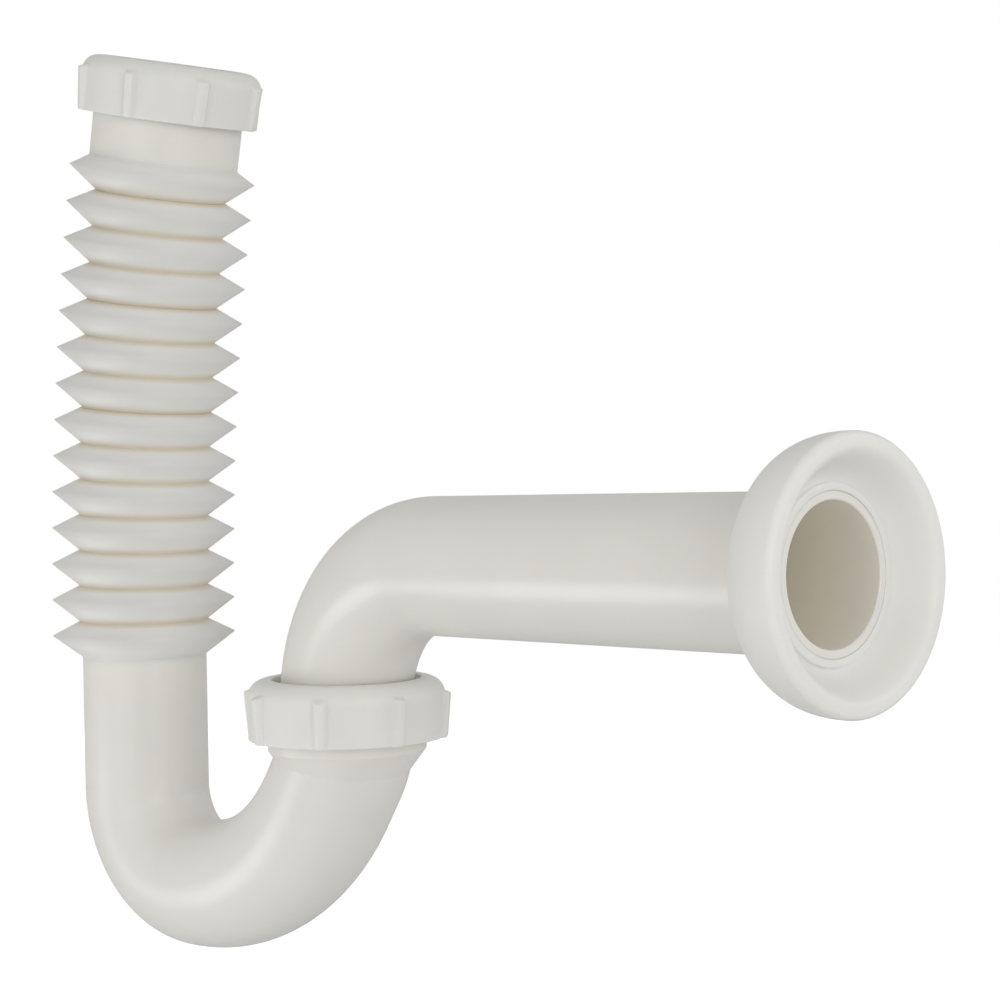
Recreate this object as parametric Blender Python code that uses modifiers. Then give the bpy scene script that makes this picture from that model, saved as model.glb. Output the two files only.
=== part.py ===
"""An adjustable sink trap: folded inlet tube, swept bend, two coupling nuts, outlet pipe and wall flange.

Lengths are in metres and +Z is up. The origin is the centre of the outlet pipe's open end, and +X points out
of that end, into the wall. The bend hangs from the outlet elbow's tail, and the folded tube stands on the
bend's other leg and leans a little towards the outlet.
"""

import math

import bmesh
import bpy
from mathutils import Matrix, Vector

# Clearances and overruns
GAP = 0.0003
CUT_OVERRUN = 0.004
MERGE = 0.00002

# Outlet pipe and elbow
PIPE_RADIUS = 0.0200
PIPE_WALL = 0.0022
OUTLET_REACH = 0.1850
ELBOW_INNER_SWEEP = 0.0230
TAIL_TILT = math.radians(0.86)
TAIL_END_GAP = 0.0010
SPIGOT_CHAMFER = 0.0009

# Coupling nuts
NUT_HEIGHT = 0.0179
NUT_WALL = 0.0045
OUTLET_NUT_EXTRA = 0.0010
NUT_SHOULDER = 0.0046
NUT_CROWN = 0.0008
NUT_TOP_WALL = 0.0030
NUT_FOOT_ROUND = 0.0008
NUT_HOLE_CLEARANCE = 0.0030
NUT_OVER_ELBOW_START = 0.0089
NUT_RIBS = 8
RIB_WIDTH = 0.0046
RIB_PROUD = 0.0024
RIB_FOOT_PROUD = 0.0012
RIB_TOP_BELOW = 0.0040
RIB_ROUND = 0.0007
OUTLET_NUT_TURN = math.radians(-12.8)
INLET_NUT_TURN = math.radians(-12.6)

# Threaded collars, slip rings and cone washers
SLIP_RING_THICKNESS = 0.0015
SLIP_RING_CLEARANCE = 0.0015
WASHER_HEAD = 0.0015
WASHER_HEAD_INSET = 0.0004
WASHER_CONE = 0.0054
WASHER_CONE_INSET = 0.0016
WASHER_CLEARANCE = 0.0004
SOCKET_CLEARANCE = 0.0012
SOCKET_WALL = 0.0027
SOCKET_DEPTH = 0.0128
COLLAR_SKIRT = 0.0036
COLLAR_CONE = 0.0105
COLLAR_CONE_INSET = 0.0043
COLLAR_EDGE = 0.0004

# Swept bend
BEND_PROUD = 0.0003
BEND_WALL = 0.0020
LEG_SPACING = 0.0982
TIGHT_INNER_SWEEP = 0.0089
WIDE_SWEEP_TURN = math.radians(58.2)
STRAIGHT_RISE_REACH = 0.0054
COLLAR_INNER_SWEEP = 0.0037
COLLAR_RUN = 0.00375
TRAP_TURN = math.radians(4.2)

# Folded tube
FOLDS = 14
LOWER_FOLDS = 8
LEAN_FOLD = 11
FOLD_PITCH = 0.01167
FOLD_DEPTH = 0.0092
FOLD_ROOT_PROUD = 0.0006
FOLD_WALL = 0.0012
FOLD_LOWER_FLANK_SHARE = 0.61
FOLD_END_LAND = 0.0006
LOWEST_FOLD_DROP = 0.0255
INLET_LEAN = math.radians(13.0)
LEAN_HEADING = math.radians(-6)

# Inlet neck
NECK_WALL = 0.0025
NECK_BELOW_NUT = 0.0135
NECK_FLANK = 0.0036

# Wall flange
FLANGE_BREADTH = 0.0140
FLANGE_CLEARANCE = 0.0004
FLANGE_WALL = 0.0019
FLANGE_BACK = 0.0105
FLANGE_FRONT = 0.0082
FLANGE_LIP = 0.0018
FLANGE_LAND = 0.0010
FLANGE_DOME_SHARE = 0.83
FLANGE_DISH_FLOOR = 0.0030
FLANGE_COLLAR_LEAD = 0.0006
FLANGE_COLLAR_WALL = 0.0017

# Facets
ROUND_STEPS = 40
HIDDEN_STEPS = 32
FOLD_STEPS = 28
TUBE_BEVEL_RESOLUTION = 14
ARC_STEP = math.radians(10)
FLANGE_CURVE_STEPS = 6
SHOULDER_STEPS = 4

# Colours: ivory moulded plastic, a little greyer on the nuts, and grey rubber
IVORY = (0.66, 0.64, 0.59, 1.0)
NUT_IVORY = (0.62, 0.61, 0.58, 1.0)
FLANGE_WHITE = (0.74, 0.73, 0.69, 1.0)
RUBBER_GREY = (0.10, 0.10, 0.10, 1.0)
RING_WHITE = (0.78, 0.78, 0.76, 1.0)
PLASTIC_ROUGHNESS = 0.42
RUBBER_ROUGHNESS = 0.75
SMOOTH_ANGLE = math.radians(35)

# Worked out from the sizes above
FULL_TURN = 2 * math.pi
QUARTER_TURN = math.pi / 2
SOCKET_RADIUS = PIPE_RADIUS + SOCKET_CLEARANCE
THREAD_RADIUS = SOCKET_RADIUS + SOCKET_WALL
WASHER_BORE_RADIUS = PIPE_RADIUS + WASHER_CLEARANCE
WASHER_HEAD_RADIUS = THREAD_RADIUS - WASHER_HEAD_INSET
WASHER_CONE_TOP_RADIUS = THREAD_RADIUS - WASHER_CONE_INSET
WASHER_CONE_FOOT_RADIUS = SOCKET_RADIUS - GAP
NUT_HOLE_RADIUS = PIPE_RADIUS + NUT_HOLE_CLEARANCE
NUT_BORE_RADIUS = THREAD_RADIUS + GAP
NUT_BODY_RADIUS = NUT_BORE_RADIUS + NUT_WALL
OUTLET_NUT_RADIUS = NUT_BODY_RADIUS + OUTLET_NUT_EXTRA
RING_TOP = NUT_TOP_WALL + GAP
WASHER_TOP = RING_TOP + SLIP_RING_THICKNESS + GAP
COLLAR_TOP = WASHER_TOP + WASHER_HEAD + GAP
CONE_FOOT = COLLAR_TOP + WASHER_CONE
SOCKET_FLOOR = COLLAR_TOP + SOCKET_DEPTH
TAIL_DEPTH = SOCKET_FLOOR - TAIL_END_GAP
COLLAR_FOOT = NUT_HEIGHT + COLLAR_SKIRT
ELBOW_SWEEP = PIPE_RADIUS + ELBOW_INNER_SWEEP
NUT_DROP = ELBOW_SWEEP - NUT_OVER_ELBOW_START
BEND_RADIUS = PIPE_RADIUS + BEND_PROUD
COLLAR_CONE_FOOT_RADIUS = BEND_RADIUS - COLLAR_CONE_INSET
TIGHT_SWEEP = BEND_RADIUS + TIGHT_INNER_SWEEP
COLLAR_SWEEP = BEND_RADIUS + COLLAR_INNER_SWEEP
COLLAR_SWEEP_REACH = COLLAR_SWEEP * (1 - math.sin(WIDE_SWEEP_TURN))
WIDE_SWEEP_REACH = LEG_SPACING - TIGHT_SWEEP - STRAIGHT_RISE_REACH - COLLAR_SWEEP_REACH
WIDE_SWEEP = WIDE_SWEEP_REACH / math.sin(WIDE_SWEEP_TURN)
COLLAR_SWEEP_FOOT = NUT_DROP + CONE_FOOT + COLLAR_RUN + COLLAR_SWEEP * math.cos(WIDE_SWEEP_TURN)
WIDE_SWEEP_TOP = COLLAR_SWEEP_FOOT + STRAIGHT_RISE_REACH * math.tan(WIDE_SWEEP_TURN)
BEND_LOWEST = WIDE_SWEEP_TOP + WIDE_SWEEP * (1 - math.cos(WIDE_SWEEP_TURN))
LEG_FOOT_DROP = BEND_LOWEST - TIGHT_SWEEP
FOLD_ROOT_RADIUS = BEND_RADIUS + FOLD_ROOT_PROUD
FOLD_TIP_RADIUS = FOLD_ROOT_RADIUS + FOLD_DEPTH
FLANGE_RADIUS = PIPE_RADIUS + FLANGE_BREADTH
FOLD_LOWER_FLANK = FOLD_PITCH * FOLD_LOWER_FLANK_SHARE
FOLDS_FOOT = -FOLD_LOWER_FLANK - FOLD_END_LAND
FOLDS_SPLIT = LOWER_FOLDS * FOLD_PITCH - FOLD_LOWER_FLANK
FOLDS_LENGTH = (FOLDS - 1) * FOLD_PITCH
FOLDS_HEAD = FOLDS_LENGTH + NECK_FLANK + FOLD_END_LAND
LEAN_RADIUS = FOLDS_HEAD / INLET_LEAN


def clear_scene():
    """Empties the scene and leaves one collection for the trap and one for the cutters."""
    for item in list(bpy.data.objects):
        bpy.data.objects.remove(item, do_unlink=True)
    trap = bpy.data.collections.new("sink_trap")
    cutters = bpy.data.collections.new("cutters")
    for collection in (trap, cutters):
        bpy.context.scene.collection.children.link(collection)
    return trap, cutters


PIECES, CUTTERS = clear_scene()


def plastic(name, colour, roughness):
    """A Principled material of one colour."""
    material = bpy.data.materials.new(name)
    material.use_nodes = True
    shader = material.node_tree.nodes["Principled BSDF"]
    shader.inputs["Base Color"].default_value = colour
    shader.inputs["Roughness"].default_value = roughness
    shader.inputs["Metallic"].default_value = 0
    material.diffuse_color = colour
    return material


def empty(name, parent, place, turn=(0, 0, 0)):
    """A named frame that pieces hang from."""
    frame = bpy.data.objects.new(name, None)
    frame.parent = parent
    frame.location = place
    frame.rotation_euler = turn
    PIECES.objects.link(frame)
    return frame


def finish(piece, material, parent):
    """Gives a piece its material, its frame and smooth shading with sharp edges kept."""
    piece.data.materials.clear()
    piece.data.materials.append(material)
    piece.parent = parent
    if piece.type == "MESH":
        piece.data.shade_smooth()
        piece.data.set_sharp_from_angle(angle=SMOOTH_ANGLE)
    return piece


def as_cutter(piece, parent):
    """Moves a helper out of the picture: it only cuts or joins other pieces."""
    piece.parent = parent
    piece.hide_render = True
    piece.display_type = "WIRE"
    for collection in list(piece.users_collection):
        collection.objects.unlink(piece)
    CUTTERS.objects.link(piece)
    return piece


def combine(piece, operation, other):
    """Adds or takes away another solid with a Boolean modifier."""
    step = piece.modifiers.new(operation.lower() + "_" + other.name, "BOOLEAN")
    step.operation = operation
    step.solver = "EXACT"
    step.object = other
    return step


def arc(centre, radius, start, end, steps):
    """Points of an arc in the profile plane, both ends included."""
    turns = (start + (end - start) * i / steps for i in range(steps + 1))
    return [(centre[0] + radius * math.cos(t), centre[1] + radius * math.sin(t)) for t in turns]


def profile_object(name, points, closed):
    """A chain of edges in the XZ plane, ready for a Screw modifier."""
    mesh = bpy.data.meshes.new(name)
    shape = bmesh.new()
    corners = [shape.verts.new((x, 0, z)) for x, z in points]
    for first, second in zip(corners, corners[1:]):
        shape.edges.new((first, second))
    if closed:
        shape.edges.new((corners[-1], corners[0]))
    shape.to_mesh(mesh)
    shape.free()
    piece = bpy.data.objects.new(name, mesh)
    PIECES.objects.link(piece)
    return piece


def turned(name, points, steps, closed=True):
    """A profile turned about the piece's own Z axis. The profile runs down its outer side."""
    piece = profile_object(name, points, closed)
    turn = piece.modifiers.new("turn", "SCREW")
    turn.axis = "Z"
    turn.angle = FULL_TURN
    turn.steps = steps
    turn.render_steps = steps
    turn.use_merge_vertices = True
    turn.merge_threshold = MERGE
    turn.use_smooth_shade = True
    return piece


def evaluated_copy(piece, name):
    """The piece with its modifiers applied, as a new mesh object. The piece itself goes."""
    bpy.context.view_layer.update()
    graph = bpy.context.evaluated_depsgraph_get()
    mesh = bpy.data.meshes.new_from_object(piece.evaluated_get(graph))
    shape = bmesh.new()
    shape.from_mesh(mesh)
    bmesh.ops.remove_doubles(shape, verts=shape.verts, dist=MERGE)
    bmesh.ops.recalc_face_normals(shape, faces=shape.faces)
    shape.to_mesh(mesh)
    shape.free()
    copy = bpy.data.objects.new(name, mesh)
    copy.matrix_world = piece.matrix_world
    PIECES.objects.link(copy)
    bpy.data.objects.remove(piece, do_unlink=True)
    return copy


def swept_rod(name, route, radius):
    """A round solid swept along a smooth route of points, closed at both ends."""
    curve = bpy.data.curves.new(name, "CURVE")
    curve.dimensions = "3D"
    curve.twist_mode = "MINIMUM"
    curve.bevel_depth = radius
    curve.bevel_resolution = TUBE_BEVEL_RESOLUTION
    curve.use_fill_caps = True
    line = curve.splines.new("POLY")
    line.points.add(len(route) - 1)
    for point, place in zip(line.points, route):
        point.co = (*place, 1)
    rod = bpy.data.objects.new(name + "_route", curve)
    PIECES.objects.link(rod)
    return evaluated_copy(rod, name)


def elbow_route(tail_end, far_end):
    """From the tail's foot, up through the nut, round the elbow and along the outlet pipe."""
    corner = Vector((-OUTLET_REACH, 0, 0))
    turn = QUARTER_TURN - TAIL_TILT
    tangent = ELBOW_SWEEP * math.tan(turn / 2)
    centre = corner + Vector((tangent, 0, -ELBOW_SWEEP))
    route = [corner - Vector((math.sin(TAIL_TILT), 0, math.cos(TAIL_TILT))) * tail_end]
    steps = math.ceil(turn / ARC_STEP)
    for i in range(steps + 1):
        t = TAIL_TILT + turn * i / steps
        route.append(centre + Vector((-math.cos(t), 0, math.sin(t))) * ELBOW_SWEEP)
    route.append(Vector((far_end, 0, 0)))
    return route


def outlet_elbow(material):
    """Elbow and outlet pipe, moulded in one: a straight tail, a swept elbow and a plain spigot."""
    tail_end = NUT_DROP + TAIL_DEPTH
    elbow = swept_rod("outlet_elbow", elbow_route(tail_end, 0), PIPE_RADIUS)
    bore_route = elbow_route(tail_end + CUT_OVERRUN, CUT_OVERRUN)
    bore = swept_rod("outlet_bore", bore_route, PIPE_RADIUS - PIPE_WALL)
    combine(elbow, "DIFFERENCE", as_cutter(bore, None))
    edge = turned(
        "spigot_edge",
        [
            (PIPE_RADIUS + CUT_OVERRUN, CUT_OVERRUN),
            (PIPE_RADIUS + CUT_OVERRUN, -SPIGOT_CHAMFER - CUT_OVERRUN),
            (PIPE_RADIUS + CUT_OVERRUN / 2, -SPIGOT_CHAMFER - CUT_OVERRUN / 2),
            (PIPE_RADIUS - SPIGOT_CHAMFER, 0),
            (PIPE_RADIUS - SPIGOT_CHAMFER, CUT_OVERRUN),
        ],
        ROUND_STEPS,
    )
    edge.rotation_euler = (0, QUARTER_TURN, 0)
    combine(elbow, "DIFFERENCE", as_cutter(edge, None))
    return finish(elbow, material, None)


def bend_route(top, collar_end):
    """Centre line of the bend in its own plane, from the folded tube's leg round to the collar."""
    leg = -LEG_SPACING
    route = [Vector((leg, 0, top))]
    steps = math.ceil(QUARTER_TURN / ARC_STEP)
    for i in range(steps + 1):
        t = QUARTER_TURN * i / steps
        x = leg + TIGHT_SWEEP * (1 - math.cos(t))
        route.append(Vector((x, 0, -LEG_FOOT_DROP - TIGHT_SWEEP * math.sin(t))))
    steps = math.ceil(WIDE_SWEEP_TURN / ARC_STEP)
    for i in range(1, steps + 1):
        t = WIDE_SWEEP_TURN * i / steps
        x = leg + TIGHT_SWEEP + WIDE_SWEEP * math.sin(t)
        route.append(Vector((x, 0, -BEND_LOWEST + WIDE_SWEEP * (1 - math.cos(t)))))
    left = QUARTER_TURN - WIDE_SWEEP_TURN
    steps = math.ceil(left / ARC_STEP)
    for i in range(steps + 1):
        t = WIDE_SWEEP_TURN + left * i / steps
        x = COLLAR_SWEEP * (math.sin(t) - 1)
        z = -COLLAR_SWEEP_FOOT + COLLAR_SWEEP * (math.cos(WIDE_SWEEP_TURN) - math.cos(t))
        route.append(Vector((x, 0, z)))
    route.append(Vector((0, 0, collar_end)))
    return route


def collar_solid(name):
    """Outside of the threaded collar: a plain cylinder with a cone that runs into the bend."""
    foot = -NUT_DROP - COLLAR_FOOT
    return turned(
        name,
        [
            (0, -NUT_DROP - COLLAR_TOP),
            (THREAD_RADIUS - COLLAR_EDGE, -NUT_DROP - COLLAR_TOP),
            (THREAD_RADIUS, -NUT_DROP - COLLAR_TOP - COLLAR_EDGE),
            (THREAD_RADIUS, foot),
            (COLLAR_CONE_FOOT_RADIUS, foot - COLLAR_CONE),
            (0, foot - COLLAR_CONE),
        ],
        ROUND_STEPS,
        closed=False,
    )


def socket_cutter(name):
    """Inside of the collar: a cone for the washer, then a plain socket for the tail."""
    top = -NUT_DROP - COLLAR_TOP
    return turned(
        name,
        [
            (0, top + CUT_OVERRUN),
            (WASHER_CONE_TOP_RADIUS + GAP, top + CUT_OVERRUN),
            (WASHER_CONE_TOP_RADIUS + GAP, top),
            (SOCKET_RADIUS, top - WASHER_CONE - GAP),
            (SOCKET_RADIUS, -NUT_DROP - SOCKET_FLOOR),
            (0, -NUT_DROP - SOCKET_FLOOR),
        ],
        ROUND_STEPS,
        closed=False,
    )


def trap_bend(material, frame):
    """The swept bend: a straight leg, a tight sweep, a wide sweep and the threaded collar."""
    leg_top = -LOWEST_FOLD_DROP + FOLDS_FOOT - GAP
    bend_end = -NUT_DROP - CONE_FOOT
    bend = swept_rod("trap_bend", bend_route(leg_top, bend_end), BEND_RADIUS)
    combine(bend, "UNION", as_cutter(collar_solid("bend_collar"), frame))
    combine(bend, "DIFFERENCE", as_cutter(socket_cutter("bend_socket"), frame))
    bore_route = bend_route(leg_top + CUT_OVERRUN, -NUT_DROP - SOCKET_FLOOR + CUT_OVERRUN)
    bore = swept_rod("bend_bore", bore_route, BEND_RADIUS - BEND_WALL)
    combine(bend, "DIFFERENCE", as_cutter(bore, frame))
    return finish(bend, material, frame)


def lean(point):
    """Bends the straight folded tube: heights along it become a round arc that leans towards +X."""
    turn = min(max(point.z, 0), FOLDS_HEAD) / LEAN_RADIUS
    past = point.z - turn * LEAN_RADIUS
    arm = LEAN_RADIUS - point.x
    x = LEAN_RADIUS - arm * math.cos(turn) + past * math.sin(turn)
    z = arm * math.sin(turn) + past * math.cos(turn)
    return Vector((x, point.y, z))


def lean_at(height):
    """How far the tube has leaned at a height along it."""
    return height / LEAN_RADIUS


def fold_profile(lowest, highest):
    """Outer line of the folds from the highest one down: a short upper flank and a long lower one."""
    line = []
    for fold in range(highest, lowest - 1, -1):
        line.append((FOLD_TIP_RADIUS, fold * FOLD_PITCH))
        if fold > lowest:
            line.append((FOLD_ROOT_RADIUS, fold * FOLD_PITCH - FOLD_LOWER_FLANK))
    return line


def folds(name, outline, base_height, material, frame):
    """A stretch of the folded tube: a turned outline made into a thin wall, then leaned."""
    straight = turned(name + "_straight", outline, FOLD_STEPS, closed=False)
    wall = straight.modifiers.new("wall", "SOLIDIFY")
    wall.thickness = FOLD_WALL
    wall.offset = -1
    wall.use_even_offset = True
    piece = evaluated_copy(straight, name)
    stand = Matrix.Translation(lean(Vector((0, 0, base_height))))
    stand @= Matrix.Rotation(lean_at(base_height), 4, "Y")
    back = stand.inverted()
    for corner in piece.data.vertices:
        corner.co = back @ lean(corner.co)
    return finish(piece, material, frame)


def lower_folds(material, frame):
    """The folds that stand on the bend's leg."""
    top = [(FOLD_ROOT_RADIUS, FOLDS_SPLIT - GAP / 2)]
    foot = [(BEND_RADIUS, -FOLD_LOWER_FLANK), (BEND_RADIUS, FOLDS_FOOT)]
    outline = top + fold_profile(0, LOWER_FOLDS - 1) + foot
    return folds("bellows_lower", outline, 0, material, frame)


def upper_folds(base_height, material, frame):
    """The folds that carry the inlet neck."""
    top = [(THREAD_RADIUS, FOLDS_HEAD - GAP), (THREAD_RADIUS, FOLDS_LENGTH + NECK_FLANK)]
    foot = [(FOLD_ROOT_RADIUS, FOLDS_SPLIT + GAP / 2)]
    outline = top + fold_profile(LOWER_FOLDS, FOLDS - 1) + foot
    return folds("bellows_upper", outline, base_height, material, frame)


def inlet_neck(material, frame):
    """The threaded neck above the folds, with the washer's cone in its mouth."""
    top = -COLLAR_TOP
    foot = -NUT_HEIGHT - NECK_BELOW_NUT
    neck = turned(
        "inlet_neck",
        [
            (THREAD_RADIUS - COLLAR_EDGE, top),
            (THREAD_RADIUS, top - COLLAR_EDGE),
            (THREAD_RADIUS, foot),
            (THREAD_RADIUS - NECK_WALL, foot),
            (THREAD_RADIUS - NECK_WALL, -CONE_FOOT - GAP),
            (WASHER_CONE_TOP_RADIUS + GAP, top),
        ],
        ROUND_STEPS,
    )
    return finish(neck, material, frame)


def slip_ring(name, material, frame):
    """A thin plain ring that lets the nut turn without dragging the washer."""
    outer = NUT_BORE_RADIUS - GAP
    inner = PIPE_RADIUS + SLIP_RING_CLEARANCE
    foot = -RING_TOP - SLIP_RING_THICKNESS
    outline = [(outer, -RING_TOP), (outer, foot), (inner, foot), (inner, -RING_TOP)]
    return finish(turned(name, outline, HIDDEN_STEPS), material, frame)


def cone_washer(name, material, frame):
    """The sealing washer: a flat head on the collar and a cone that wedges into its mouth."""
    head_foot = -WASHER_TOP - WASHER_HEAD
    washer = turned(
        name,
        [
            (WASHER_HEAD_RADIUS, -WASHER_TOP),
            (WASHER_HEAD_RADIUS, head_foot),
            (WASHER_CONE_TOP_RADIUS, head_foot),
            (WASHER_CONE_FOOT_RADIUS, -CONE_FOOT),
            (WASHER_BORE_RADIUS, -CONE_FOOT),
            (WASHER_BORE_RADIUS, -WASHER_TOP),
        ],
        ROUND_STEPS,
    )
    return finish(washer, material, frame)


def rib_block(name, radius, turn, frame):
    """One grip rib: a bar against the nut's side, prouder at its head than at its foot."""
    head = -RIB_TOP_BELOW
    inner = radius - RIB_PROUD
    outer = radius + RIB_PROUD
    foot_outer = radius + RIB_FOOT_PROUD
    shape = bmesh.new()
    bmesh.ops.create_cube(shape, size=1)
    for corner in shape.verts:
        low = corner.co.z < 0
        far = corner.co.x > 0
        side = math.copysign(RIB_WIDTH / 2, corner.co.y)
        reach = (foot_outer if low else outer) if far else inner
        height = -NUT_HEIGHT if low else head
        corner.co = Vector((reach, side, height))
    mesh = bpy.data.meshes.new(name)
    shape.to_mesh(mesh)
    shape.free()
    rib = bpy.data.objects.new(name, mesh)
    rib.rotation_euler = (0, 0, turn)
    PIECES.objects.link(rib)
    edges = rib.modifiers.new("round", "BEVEL")
    edges.width = RIB_ROUND
    edges.segments = 1
    return as_cutter(rib, frame)


def coupling_nut(name, radius, turn, material, frame):
    """A closed-top coupling nut with a rounded shoulder, a plain thread bore and eight grip ribs."""
    shoulder = arc(
        (radius - NUT_SHOULDER, -NUT_CROWN - NUT_SHOULDER),
        NUT_SHOULDER,
        QUARTER_TURN,
        0,
        SHOULDER_STEPS,
    )
    nut = turned(
        name,
        [
            (NUT_HOLE_RADIUS, 0),
            (NUT_HOLE_RADIUS + NUT_CROWN, 0),
            *shoulder,
            (radius, -NUT_HEIGHT + NUT_FOOT_ROUND),
            (radius - NUT_FOOT_ROUND, -NUT_HEIGHT),
            (NUT_BORE_RADIUS, -NUT_HEIGHT),
            (NUT_BORE_RADIUS, -NUT_TOP_WALL),
            (NUT_HOLE_RADIUS, -NUT_TOP_WALL),
        ],
        ROUND_STEPS,
    )
    for i in range(NUT_RIBS):
        rib = rib_block(f"{name}_rib_{i}", radius, turn + FULL_TURN * i / NUT_RIBS, frame)
        combine(nut, "UNION", rib)
    return finish(nut, material, frame)


def wall_flange(material, frame):
    """The round flange: a collar on the pipe, a dome towards the room and a dished wall side."""
    bore = PIPE_RADIUS + FLANGE_CLEARANCE
    collar = bore + FLANGE_COLLAR_WALL
    back = (bore + FLANGE_WALL, -FLANGE_BACK)
    lip = (FLANGE_RADIUS - FLANGE_LIP, FLANGE_FRONT - FLANGE_LIP)
    dome = []
    for i in range(FLANGE_CURVE_STEPS):
        t = QUARTER_TURN * i / FLANGE_CURVE_STEPS
        x = back[0] + (FLANGE_RADIUS - back[0]) * math.sin(t) ** FLANGE_DOME_SHARE
        z = back[1] + (lip[1] - back[1]) * (1 - math.cos(t) ** FLANGE_DOME_SHARE)
        dome.append((x, z))
    edge = arc(lip, FLANGE_LIP, 0, QUARTER_TURN, SHOULDER_STEPS)
    land = lip[0] - FLANGE_LAND
    floor = (collar + FLANGE_WALL, -FLANGE_DISH_FLOOR)
    dish = []
    for i in range(FLANGE_CURVE_STEPS + 1):
        share = i / FLANGE_CURVE_STEPS
        x = land + (floor[0] - land) * share
        z = floor[1] + (FLANGE_FRONT - floor[1]) * (1 + math.cos(math.pi * share)) / 2
        dish.append((x, z))
    collar_edge = [
        (collar, floor[1]),
        (collar, FLANGE_COLLAR_LEAD),
        (bore, FLANGE_COLLAR_LEAD),
        (bore, back[1]),
    ]
    loop = dome + edge + dish + collar_edge
    flange = turned("wall_flange", loop[::-1], ROUND_STEPS)
    flange.rotation_euler = (0, QUARTER_TURN, 0)
    return finish(flange, material, frame)


def build():
    """Makes every piece of the trap in its place."""
    ivory = plastic("ivory_polypropylene", IVORY, PLASTIC_ROUGHNESS)
    nut_ivory = plastic("nut_polypropylene", NUT_IVORY, PLASTIC_ROUGHNESS)
    flange_white = plastic("flange_polypropylene", FLANGE_WHITE, PLASTIC_ROUGHNESS)
    rubber = plastic("washer_rubber", RUBBER_GREY, RUBBER_ROUGHNESS)
    ring_white = plastic("ring_polyethylene", RING_WHITE, PLASTIC_ROUGHNESS)

    corner = Vector((-OUTLET_REACH, 0, 0))
    tail = empty("tail_frame", None, corner, (0, TAIL_TILT, 0))
    trap = empty("trap_frame", tail, Vector(), (0, 0, TRAP_TURN))
    nut_seat = empty("outlet_nut_frame", trap, Vector((0, 0, -NUT_DROP)))

    leg_base = Vector((-LEG_SPACING, 0, -LOWEST_FOLD_DROP))
    leg = empty("leg_frame", trap, leg_base, (0, 0, LEAN_HEADING))
    side_bend_height = LOWER_FOLDS * FOLD_PITCH
    lean_height = LEAN_FOLD * FOLD_PITCH
    side_bend_at = lean(Vector((0, 0, side_bend_height)))
    side_bend = empty("side_bend_frame", leg, side_bend_at, (0, lean_at(side_bend_height), 0))
    lean_pivot = empty("lean_frame", leg, lean(Vector((0, 0, lean_height))), (0, lean_at(lean_height), 0))
    neck_top = Vector((0, 0, FOLDS_HEAD + NUT_HEIGHT + NECK_BELOW_NUT))
    stand = lean_pivot.matrix_basis.inverted()
    inlet_turn = (0, INLET_LEAN - lean_at(lean_height), 0)
    inlet = empty("inlet_frame", lean_pivot, stand @ lean(neck_top), inlet_turn)

    outlet_elbow(ivory)
    wall_flange(flange_white, None)
    trap_bend(ivory, trap)
    cone_washer("outlet_washer", rubber, nut_seat)
    slip_ring("outlet_slip_ring", ring_white, nut_seat)
    coupling_nut("outlet_nut", OUTLET_NUT_RADIUS, OUTLET_NUT_TURN, nut_ivory, nut_seat)
    lower_folds(ivory, leg)
    upper_folds(side_bend_height, ivory, side_bend)
    inlet_neck(ivory, inlet)
    cone_washer("inlet_washer", rubber, inlet)
    slip_ring("inlet_slip_ring", ring_white, inlet)
    coupling_nut("inlet_nut", NUT_BODY_RADIUS, INLET_NUT_TURN, nut_ivory, inlet)


build()
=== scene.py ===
# %% [markdown]
# An adjustable sink trap, dressed for a studio picture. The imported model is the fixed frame: it says where
# each piece sits and which body it moves with. Each cell below makes one piece or one finish of the real
# trap, at the size the frame has, and hangs it on the body it belongs to.

import math

import bpy
from mathutils import Matrix, Vector


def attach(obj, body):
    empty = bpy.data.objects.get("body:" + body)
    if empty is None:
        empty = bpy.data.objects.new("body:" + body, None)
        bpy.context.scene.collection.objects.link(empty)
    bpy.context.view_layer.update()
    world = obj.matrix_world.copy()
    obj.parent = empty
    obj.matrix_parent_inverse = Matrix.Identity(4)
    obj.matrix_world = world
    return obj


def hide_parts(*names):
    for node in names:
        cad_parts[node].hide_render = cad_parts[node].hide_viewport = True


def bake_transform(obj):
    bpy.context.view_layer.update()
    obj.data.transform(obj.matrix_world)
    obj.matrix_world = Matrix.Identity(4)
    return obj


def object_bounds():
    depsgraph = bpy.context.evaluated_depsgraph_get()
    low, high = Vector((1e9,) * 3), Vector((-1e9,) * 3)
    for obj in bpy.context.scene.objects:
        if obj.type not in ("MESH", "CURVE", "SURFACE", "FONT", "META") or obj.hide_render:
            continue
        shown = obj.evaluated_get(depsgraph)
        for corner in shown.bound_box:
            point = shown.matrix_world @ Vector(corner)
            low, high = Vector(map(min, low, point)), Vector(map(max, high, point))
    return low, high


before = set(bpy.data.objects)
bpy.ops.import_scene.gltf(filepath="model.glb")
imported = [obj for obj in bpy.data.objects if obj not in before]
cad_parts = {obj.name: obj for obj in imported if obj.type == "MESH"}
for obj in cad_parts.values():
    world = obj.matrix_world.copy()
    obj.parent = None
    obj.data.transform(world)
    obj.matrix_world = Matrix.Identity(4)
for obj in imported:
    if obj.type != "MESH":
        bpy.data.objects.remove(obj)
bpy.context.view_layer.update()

# %% [markdown]
# The trap is tube work: nearly every piece is a ring that travels. So one helper serves for all of them. It
# takes rings of points, joins each to the next and closes the last onto the first, which gives a closed wall
# with an inside and an outside. Screw and curve bevels would work too, but rings can also carry ribs and
# threads, which a plain turned outline can't.

# %% Rings joined into a closed wall
ROUND = 2 * math.pi
# Edges that turn by more than these stay hard, and the others are shaded round.
WALL_CREASE = math.radians(50)
ELBOW_CREASE = math.radians(30)
BEND_CREASE = math.radians(40)
MODEL_CREASE = math.radians(35)


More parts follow.
